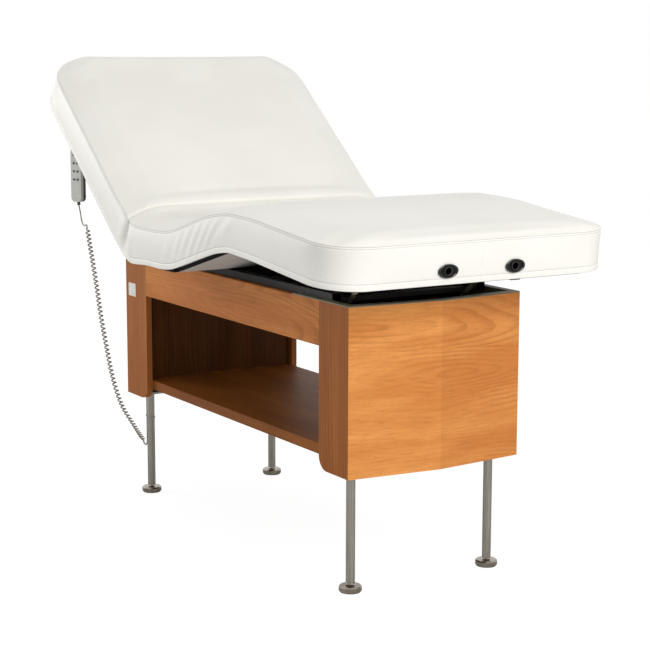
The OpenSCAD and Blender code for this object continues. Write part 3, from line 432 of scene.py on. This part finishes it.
cord = {
    "thickness": 4.2 * mm,
    "curlRadius": 5.9 * mm,
    "curls": 57,
    "ringsPerCurl": 16,
    "lead": [
        (-387, 1369, 902), (-387, 1364, 891), (-387, 1358, 878), (-387, 1352, 861),
        (-387, 1344, 847), (-387, 1330, 841), (-386, 1317, 845), (-386, 1312, 841),
    ],
    "curl": [
        (-386, 1312, 838), (-377, 1301, 749), (-367, 1291, 654), (-358, 1282, 559),
        (-346, 1272, 465), (-331, 1265, 372), (-304, 1260, 282), (-262, 1257, 209),
        (-232, 1257, 160),
    ],
    "tail": [
        (-232, 1257, 155), (-227, 1258, 148), (-222, 1259, 146), (-219, 1260, 151),
        (-218, 1260, 166), (-218, 1260, 230), (-218, 1260, 312),
    ],
    "leadSteps": 18,
    "tailSteps": 42,
    "topCurls": 8,  # curls in the cord's top piece
    "frameCurls": 32,  # and the curl where the cord's low piece begins
    "held": (-262, 1257, 209),  # a point low on the cord, worked out in the loop below but not used
}


def along(points, t):
    # a smooth curve through the points, t from 0 to the last index
    last = len(points) - 1
    i = min(int(t), last - 1)
    f = t - i
    before = points[i - 1] if i > 0 else 2 * points[0] - points[1]
    after = points[i + 2] if i + 2 <= last else 2 * points[last] - points[last - 1]
    start, end = points[i], points[i + 1]
    return (
        start
        + f * (end - before) / 2
        + f * f * (before - 2.5 * start + 2 * end - after / 2)
        + f * f * f * (1.5 * (start - end) + (after - before) / 2)
    )


def cordPath():
    lead, curl, tail = ([spot(*p) for p in cord[part]] for part in ("lead", "curl", "tail"))
    path = [along(lead, i * (len(lead) - 1) / cord["leadSteps"]) for i in range(cord["leadSteps"])]
    steps = cord["curls"] * cord["ringsPerCurl"]
    for i in range(steps + 1):
        f = i / steps
        angle = 2 * math.pi * i / cord["ringsPerCurl"]
        reach = cord["curlRadius"] * min(1, f * cord["curls"], (1 - f) * cord["curls"])
        path.append(along(curl, f * (len(curl) - 1)) + reach * Vector((math.cos(angle), math.sin(angle), 0)))
    path += [along(tail, i * (len(tail) - 1) / cord["tailSteps"]) for i in range(cord["tailSteps"] + 1)]
    return path


def tube(name, path, radius):
    # a round tube along the points, as a mesh
    curve = bpy.data.curves.new(name, "CURVE")
    curve.dimensions = "3D"
    curve.bevel_depth = radius
    curve.bevel_resolution = 2
    curve.use_fill_caps = True
    line = curve.splines.new("POLY")
    line.points.add(len(path) - 1)
    for point, at in zip(line.points, path):
        point.co = (*at, 1)
    holder = addObject(name + "Curve", curve)
    data = bpy.data.meshes.new_from_object(holder)
    data.name = name
    bpy.data.objects.remove(holder)
    for face in data.polygons:
        face.use_smooth = True
    return addObject(name, data)


wholePath = cordPath()
firstCut = cord["leadSteps"] + cord["topCurls"] * cord["ringsPerCurl"]
secondCut = cord["leadSteps"] + cord["frameCurls"] * cord["ringsPerCurl"]
cordPieces = {
    "cordTop": (0, firstCut, "back_rest", "handset"),
    "cordMiddle": (firstCut, secondCut, "top_frame", "back_rest"),
    "cordLow": (secondCut, len(wholePath) - 1, "cabinet", "top_frame"),
}
for name, (first, last, lowBody, highBody) in cordPieces.items():
    path = wholePath[first : last + 1]
    piece = dress(tube(name, path, cord["thickness"] / 2), "cord_jacket")
    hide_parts("handset_cord")
    low = spot(*cord["held"]) if name == "cordLow" else path[-1]
    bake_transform(piece)
    length = sum((b - a).length for a, b in zip(path, path[1:]))
print("handset cord made")


# mattress
mattress = {
    "half": 432.0,
    "thickness": 102.0,
    "axisDrop": 19.5,  # of the hinge lines below the lower welt
    "crown": 17.0,
    "backCrown": 29.0,
    "creaseCrown": 8.0,
    "sideIn": 1.5,
    "droop": 5.0,
    "sideReach": 80.0,
    "footReach": 34.0,
    "headReach": 18.0,
    "corner": 108.0,
    "legSlope": 5.8,
    "thighSlope": 15.8,
    "backSlope": 38.5,
    "grid": 15.0,
    "socketX": 101.6,
    "socketUp": 30.0,
    "socketHalf": 10.0,
    "socketDeep": 62.0,
    "fill": 0.85,
}


def sectionPoint(hinge, slope, sign, u, h):
    # a point u along a section and h above its hinge line
    c, s = math.cos(math.radians(slope)), math.sin(math.radians(slope))
    return hinge[0] + sign * (u * c - h * s), hinge[1] + u * s + h * c


sections = {
    "back": (table["backHinge"], mattress["backSlope"], 1),
    "thigh": (table["thighHinge"], mattress["thighSlope"], -1),
    "leg": (table["kneeHinge"], -mattress["legSlope"], -1),
}


def pair(section, u):
    # the welt and the seam points of the mattress at u along a section
    low = mattress["axisDrop"]
    return [sectionPoint(*sections[section], u, h) for h in (low, low + mattress["thickness"])]


# welt point and seam point, from the foot end to the head end
stations = [pair("leg", u) for u in (517, 420, 320, 220, 150)] + [
    ((272, 867.5), (262, 966)),  # knee
    ((322, 869.5), (326, 966)),
    ((397, 858), (420, 953)),
    ((465, 840), (493, 935)),
    ((532.5, 821.1), (560, 915)),
    ((590, 804.3), (618, 899)),
    ((650, 789.5), (668, 889)),  # seat fold
    ((710, 784), (716, 885)),
    ((760, 784), (762, 884)),
    ((805, 784), (805, 884)),
    ((862, 780.5), (856, 885)),
    ((905, 779.5), (892, 889)),
    ((940, 792), (912, 894)),  # crease
    ((975, 815), (928, 908)),
    ((1010, 840), (955, 931)),
] + [pair("back", u) for u in (150, 250, 350, 450, 550, 650, 776)]
creaseStation = 17
lengths = [0.0]
for (lowA, highA), (lowB, highB) in zip(stations, stations[1:]):
    lengths.append(lengths[-1] + (math.dist(lowA, lowB) + math.dist(highA, highB)) / 2)
fullLength = lengths[-1]


def profile(s, row):
    # smooth curve through the welt points, row 0, or the seam points, row 1
    last = len(stations) - 1
    i = max(k for k in range(last) if lengths[k] <= max(0.0, s)) if s > 0 else 0
    span = lengths[i + 1] - lengths[i]
    f = (s - lengths[i]) / span

    def slope(k, axis):
        a, b = max(0, k - 1), min(last, k + 1)
        return (stations[b][row][axis] - stations[a][row][axis]) / (lengths[b] - lengths[a])

    point = []
    for axis in (0, 1):
        p0, p1 = stations[i][row][axis], stations[i + 1][row][axis]
        m0, m1 = slope(i, axis) * span, slope(i + 1, axis) * span
        fromStart = (2 * f**3 - 3 * f**2 + 1) * p0 + (f**3 - 2 * f**2 + f) * m0
        point.append(fromStart + (3 * f**2 - 2 * f**3) * p1 + (f**3 - f**2) * m1)
    return point


def bell(x, middle, width):
    # 1 in the middle, falling to 0 on both sides
    return math.exp(-(((x - middle) / width) ** 2))


def crownRise(x, s):
    # height of the top over its seam line, steeper at the ends than at the sides and fuller on the back
    fromSide = mattress["half"] * (1 - abs(x))
    onBack = min(1.0, max(0.0, (s - lengths[creaseStation] + 200) / 300))
    crown = mattress["crown"] + (mattress["backCrown"] - mattress["crown"]) * onBack
    crown += mattress["creaseCrown"] * bell(s, lengths[creaseStation], 60)
    side = 1 - (1 - min(1.0, fromSide / mattress["sideReach"])) ** 2
    foot = 1 - (1 - min(1.0, s / mattress["footReach"])) ** 2.2
    head = 1 - (1 - min(1.0, (fullLength - s) / mattress["headReach"])) ** 2.2
    return crown * side * foot * head


def placeMattress(x, s, h):
    # x from -1 to 1 across, s along in mm, h from 0 at the welt to 1 at the seam and on to 2 on top
    toEnd = min(s, fullLength - s)
    half = mattress["half"]
    if toEnd < mattress["corner"]:
        away = mattress["corner"] - toEnd
        half -= mattress["corner"] - math.sqrt(max(0.0, mattress["corner"] ** 2 - away**2))
    side = min(h, 1.0)
    low, high = profile(s, 0), profile(s, 1)
    thick = math.dist(low, high)
    lean = [(b - a) / thick for a, b in zip(low, high)]
    rise = side * thick + (crownRise(x, s) if h > 1 else 0.0)
    tuck = mattress["sideIn"] * math.sin(math.pi * side) if h <= 1 else 0.0
    rim = max(min(1.0, max(0.0, (abs(x) - 0.96) / 0.04)), min(1.0, max(0.0, 1 - toEnd / 17)))
    rise -= mattress["droop"] * rim * max(0.0, 1 - h / 0.12) ** 2
    y = low[0] + lean[0] * rise
    z = low[1] + lean[1] * rise
    return spot(x * (half - tuck), y, z)


def spread(low, high, step):
    count = max(1, round((high - low) / step))
    return [round(low + (high - low) * i / count, 3) for i in range(count + 1)]


gridCuts = {
    "cornerAngles": (8, 15, 22, 29, 36, 44, 53, 62, 71, 80, 90),
    "nearSides": (0.955, 0.968, 0.979, 0.988, 0.995),
    "footSeam": (-4, -1.5, 1.5, 4),
    "socket": (-11, -9, 9, 11),
    "crease": (6, 11, 16, 21, 26),
    "up": [0.02, 0.05, 0.08, 0.098, 0.108, 0.118, 0.13, 0.24, 0.35, 0.47, 0.54, 0.62, 0.69, 0.77, 0.84]
    + [0.885, 0.91, 0.92, 0.931, 0.943, 0.96, 0.975, 0.985, 0.992],
}


def makeMattress():
    # a box cut into a grid, then bent to the table's shape
    box = bmesh.new()
    bmesh.ops.create_cube(box, size=2)
    bmesh.ops.transform(box, matrix=Matrix.Diagonal((1, fullLength / 2, 0.5, 1)), verts=box.verts)
    bmesh.ops.translate(box, vec=(0, fullLength / 2, 0.5), verts=box.verts)
    corner = mattress["corner"]
    footHalf = mattress["half"] - corner
    arcs = [corner * (1 - math.cos(math.radians(angle))) for angle in gridCuts["cornerAngles"]]
    alongCuts = spread(corner, fullLength - corner, mattress["grid"])
    alongCuts += arcs + [fullLength - arc for arc in arcs]
    acrossCuts = spread(-0.94, 0.94, 0.034) + [side * at for side in (-1, 1) for at in gridCuts["nearSides"]]
    acrossCuts += [place / footHalf for place in gridCuts["footSeam"]]
    sockets = [side * (mattress["socketX"] + reach) for side in (-1, 1) for reach in gridCuts["socket"]]
    acrossCuts += [place / footHalf for place in sockets]
    socketHeights = [mattress["socketUp"] + reach for reach in gridCuts["socket"]]
    upCuts = gridCuts["up"] + [height / mattress["thickness"] for height in socketHeights]
    alongCuts += [lengths[creaseStation] + reach for reach in gridCuts["crease"]]
    for axis, values in ((1, alongCuts), (0, acrossCuts), (2, upCuts)):
        normal = Vector((axis == 0, axis == 1, axis == 2))
        for value in values:
            whole = box.verts[:] + box.edges[:] + box.faces[:]
            bmesh.ops.bisect_plane(box, geom=whole, plane_co=normal * value, plane_no=normal, dist=1e-4)
    flat = []
    for vertex in box.verts:
        x, s, h = vertex.co
        onTop = h > 0.9999 and abs(x) < 0.99999 and 1e-4 < s < fullLength - 1e-4
        flat.append((x, s, 2.0 if onTop else h))
        vertex.co = placeMattress(*flat[-1])
    return box, flat


mattressMesh, flatPlaces = makeMattress()
print("mattress grid:", len(mattressMesh.verts), "points")
cover = keep("mattressCover", mattressMesh, True, None)


swelling = {
    "cap": 4,
    "steps": 20,
    "cloth": {
        "quality": 6,
        "mass": 0.4,
        "tension_stiffness": 25,
        "compression_stiffness": 25,
        "shear_stiffness": 12,
        "bending_stiffness": 4,
        "use_pressure": True,
        "uniform_pressure_force": 4,
        "vertex_group_mass": "held",
    },
}


def onWall(x, s):
    return abs(x) > 0.9999 or s < 1e-3 or s > fullLength - 1e-3


def puff(piece, flat):
    # lets the cover swell a little between its seams, as cloth under pressure
    held = piece.vertex_groups.new(name="held")
    for index, (x, s, h) in enumerate(flat):
        grip = 1.0 if h < 0.06 or (onWall(x, s) and 0.95 < h <= 1.0) else 0.0
        held.add([index], grip, "REPLACE")
    before = [vertex.co.copy() for vertex in piece.data.vertices]
    cloth = piece.modifiers.new("swell", "CLOTH")
    for key, value in swelling["cloth"].items():
        setattr(cloth.settings, key, value)
    cloth.settings.effector_weights.gravity = 0
    cloth.collision_settings.use_self_collision = False
    cloth.point_cache.frame_start = 1
    cloth.point_cache.frame_end = swelling["steps"]
    for step in range(swelling["steps"]):
        scene.frame_set(step + 1)
    evaluated = piece.evaluated_get(bpy.context.evaluated_depsgraph_get())
    after = [vertex.co.copy() for vertex in evaluated.data.vertices]
    piece.modifiers.remove(cloth)
    scene.frame_set(1)
    cap = swelling["cap"] * mm
    for vertex, old, new in zip(piece.data.vertices, before, after):
        move = new - old
        vertex.co = old + (move if move.length <= cap else move * (cap / move.length))
    piece.vertex_groups.clear()


puff(cover, flatPlaces)
print("mattress swollen")

seams = {
    # on the sides and ends: height, width and push of each line, width and strength of its thread
    "lines": [(101.0, 1.4, -1.8, 0.9, 1.0), (95.0, 1.1, -1.26, 0.7, 0.55), (11.0, 1.1, -1.26, 0.8, 0.7)],
    "bulges": [(3, 5, 0.5), (98, 1.6, 0.8)],
    "footSeam": {"push": -1.4, "width": 1.8, "darkLine": 0.6, "threadWidth": 1.5},
    # share of the painted shade along the wrinkles' folds
    "foldShadeShare": 0.3,
    "wrinkles": [  # along the thighs' sides: place, lean, width, depth in mm
        (700, -70, 13, 1.2),
        (645, -96, 9, 2.0),
        (606, -112, 11, 1.6),
        (556, -120, 10, 2.6),
        (508, -126, 12, 2.0),
        (462, -118, 10, 2.4),
        (412, -122, 14, 1.4),
        (372, -90, 12, 1.2),
    ],
}
crease = {  # places measured from the crease along the mattress: place, width, push
    "at": lengths[creaseStation],
    "pucker": (10, 13, -7),
    "beside": [(-18, 16, 4), (38, 16, 3)],
    "line": (16, 6, -6.0),
    "lip": (-14, 16, 3.0),
    "roll": (46, 26, 5.0),
    "valley": (52, 16, -4.0),
    "valleyBow": 48,
}


def cutPlane(s):
    # a point and the normal of the plane through the welt and the seam at s
    low, high = Vector((0, *profile(s, 0))), Vector((0, *profile(s, 1)))
    at = spot(0, low.y, low.z)
    rise = (high - low).normalized()
    return at, Vector((0, rise.z, -rise.y))


def hump(offset, form):
    # how far a form of the crease pushes a point that lies at this offset from it
    place, width, push = form
    return push * bell(offset, place, width)


def wallShape(up):
    # push and thread of the long seams
    push = sum(depth * bell(up, at, width) for at, width, depth in seams["bulges"])
    mark = 0.0
    for at, width, depth, threadWidth, strength in seams["lines"]:
        push += depth * bell(up, at, width)
        mark += strength * bell(up, at, threadWidth)
    return push, mark


def sideShape(s, up):
    # push of the wrinkles and of the crease's pucker, and the painted shade in their folds
    offset = s - crease["at"]
    lean = offset + up * 0.1
    swell = math.sin(math.pi * min(1, up / 100))
    push = hump(lean, crease["pucker"]) * min(1, up / 40)
    push += sum(hump(offset, form) for form in crease["beside"]) * swell
    mark = 0.0
    y = profile(s, 0)[0]
    fade = math.sin(math.pi * min(1.0, max(0.0, (up - 6) / 92))) ** 0.7 if 6 < up < 98 else 0.0
    for place, slope, width, depth in seams["wrinkles"]:
        line = place + slope * (up / 100)
        fold = line + 1.7 * width
        push += 1.2 * depth * fade * (bell(y, line, width) - 0.8 * bell(y, fold, width))
        # painted shade along each wrinkle's fold
        mark += seams["foldShadeShare"] * fade * bell(y, fold, 0.5 * width)
    # the third value is painted shade in the crease's pucker
    return push, mark, 0.5 * bell(lean, crease["pucker"][0], 5) * min(1, up / 60)


def topShape(x, s):
    # push of the crease on the top, and painted shade along its line
    offset = s - crease["at"]
    across = 1 - abs(x) ** 3
    push = hump(offset, crease["line"]) + hump(offset, crease["lip"])
    push += hump(offset, crease["roll"]) * across
    push += hump(offset - crease["valleyBow"] * across, crease["valley"]) * across
    # the second value is painted shade along the crease's line
    return push, 0.4 * bell(offset, crease["line"][0], 4)


def fineShape(piece, flat):
    # pushes in the seams, raises the wrinkles and notes where the thread of the seams shows and where
    # painted shade darkens the wrinkles' folds and the crease
    normals = [vertex.normal.copy() for vertex in piece.data.vertices]
    darkLine = piece.data.attributes.new("seam", "FLOAT", "POINT")
    inward = cutPlane(0.0)[1]
    footSeam = seams["footSeam"]
    threadAndShadeMarks = []
    for vertex, normal, (x, s, h) in zip(piece.data.vertices, normals, flat):
        push = 0.0
        mark = 0.0
        up = h * mattress["thickness"]
        if onWall(x, s) and h <= 1:
            push, mark = wallShape(up)
        if abs(x) > 0.9999:
            sidePush, foldShade, puckerShade = sideShape(s, up)
            push += sidePush
            mark = max(mark + foldShade, puckerShade)
        if h > 1:
            push, mark = topShape(x, s)
        if s < 1e-3 and h <= 1:
            place = x * (mattress["half"] - mattress["corner"])
            fromSocket = max(abs(abs(place) - mattress["socketX"]), abs(up - mattress["socketUp"]))
            if fromSocket < mattress["socketHalf"]:
                vertex.co += inward * mattress["socketDeep"] * mm
            push += footSeam["push"] * bell(place, 0, footSeam["width"])
            mark = max(mark, footSeam["darkLine"] * bell(place, 0, footSeam["threadWidth"]))
        threadAndShadeMarks.append(min(1.0, mark))
        vertex.co += normal * push * mm
    darkLine.data.foreach_set("value", threadAndShadeMarks)


fineShape(cover, flatPlaces)
print("seams and wrinkles pressed in")


def settle(piece):
    # one level of subdivision, applied
    smoother = piece.modifiers.new("smooth", "SUBSURF")
    smoother.levels = 1
    smoother.render_levels = 1
    data = bpy.data.meshes.new_from_object(piece.evaluated_get(bpy.context.evaluated_depsgraph_get()))
    piece.modifiers.remove(smoother)
    piece.data = data


settle(cover)


def splitCover(name, low, high):
    # the part of the cover between two cutting planes, closed with flat faces
    part = bmesh.new()
    part.from_mesh(cover.data)
    for plane, keepSide in ((low, 1), (high, -1)):
        if plane is None:
            continue
        at, normal = plane
        whole = part.verts[:] + part.edges[:] + part.faces[:]
        towards = normal * keepSide
        bmesh.ops.bisect_plane(part, geom=whole, plane_co=at, plane_no=towards, clear_inner=True, dist=1e-6)
        rim = [edge for edge in part.edges if edge.is_boundary]
        bmesh.ops.contextual_create(part, geom=rim)
        for edge in rim:
            edge.smooth = False
    piece = keep(name, part, True, None)
    # the flat cut faces are the only ones with many corners
    for face in piece.data.polygons:
        face.use_smooth = len(face.vertices) < 9
    return dress(piece, "ivory_vinyl")


seatPlane = cutPlane(lengths[14])
thighPlane = cutPlane((lengths[8] + lengths[9]) / 2)
backCover = splitCover("backCover", seatPlane, None)
seatCover = splitCover("seatCover", thighPlane, seatPlane)
legCover = splitCover("legCover", None, thighPlane)
bpy.data.objects.remove(cover)
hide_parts("back_pad", "crease_fold")
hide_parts("seat_pad", "seat_fold", "thigh_pad")
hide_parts("knee_fold", "leg_pad")


def bendAcross(piece, hinge):
    # bakes a cover's placement into its points; the middle of the hinge line is worked out but not used, and
    # nothing is bent
    middle = spot(0, *hinge)
    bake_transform(piece)


bendAcross(backCover, table["backHinge"])
bendAcross(seatCover, table["thighHinge"])
bendAcross(legCover, table["kneeHinge"])
print("mattress covers made")

# glossy rims round the two head cradle sockets: radius, thickness and stretch of each ring
rims = {
    "face": 522.0,
    "up": 49.5,
    "steps": 40,
    "segments": 10,
    "rings": [(15.6, 1.9, 1.72), (10.4, 1.7, 1.0)],
}


def addRing(mesh, radius, thick, stretch):
    start = Matrix.Translation((radius * mm, 0, 0))
    made = bmesh.ops.create_circle(mesh, segments=rims["segments"], radius=thick * mm, matrix=start)
    circle = made["verts"]
    loop = list({edge for vertex in circle for edge in vertex.link_edges}) + circle
    turn = {"cent": (0, 0, 0), "axis": (0, 1, 0), "angle": 2 * math.pi}
    bmesh.ops.spin(mesh, geom=loop, steps=rims["steps"], use_merge=True, **turn)
    fresh = [vertex for vertex in mesh.verts if not vertex.tag]
    for vertex in fresh:
        vertex.tag = True
    bmesh.ops.scale(mesh, vec=(stretch, 1, 1), verts=fresh)


legTurn = Matrix.Rotation(math.radians(mattress["legSlope"]), 4, "X")
for side, word in ((-1, "Left"), (1, "Right")):
    rimMesh = bmesh.new()
    for ring in rims["rings"]:
        addRing(rimMesh, *ring)
    middle = spot(side * mattress["socketX"], *sectionPoint(*sections["leg"], rims["face"], rims["up"]))
    bmesh.ops.transform(rimMesh, matrix=Matrix.Translation(middle) @ legTurn, verts=rimMesh.verts)
    rimPiece = dress(keep("socketRims" + word, rimMesh), "socket_plastic", "leg_rest")
    rimPiece.data.materials[0] = finishes["socket_rim"]
print("socket rims made")

# blank label plate on the head end's stile
plate = {"yMiddle": 1250.0, "zMiddle": 644, "long": 50, "high": 40, "thick": 0.8, "face": -266}
plateMesh = bmesh.new()
bmesh.ops.create_cube(plateMesh, size=1)
plateSize = Matrix.Diagonal((plate["thick"] * mm, plate["long"] * mm, plate["high"] * mm, 1))
plateSpot = spot(plate["face"] - plate["thick"] / 2, plate["yMiddle"], plate["zMiddle"])
bmesh.ops.transform(plateMesh, matrix=Matrix.Translation(plateSpot) @ plateSize, verts=plateMesh.verts)
dress(keep("labelPlate", plateMesh, False), "roller_nylon", "cabinet")
print("label plate made")

# finishes of the CAD parts
for name, node in nodes.items():
    for holder in node.material_slots:
        holder.material = finishes[looks[name]]
print("CAD parts dressed")
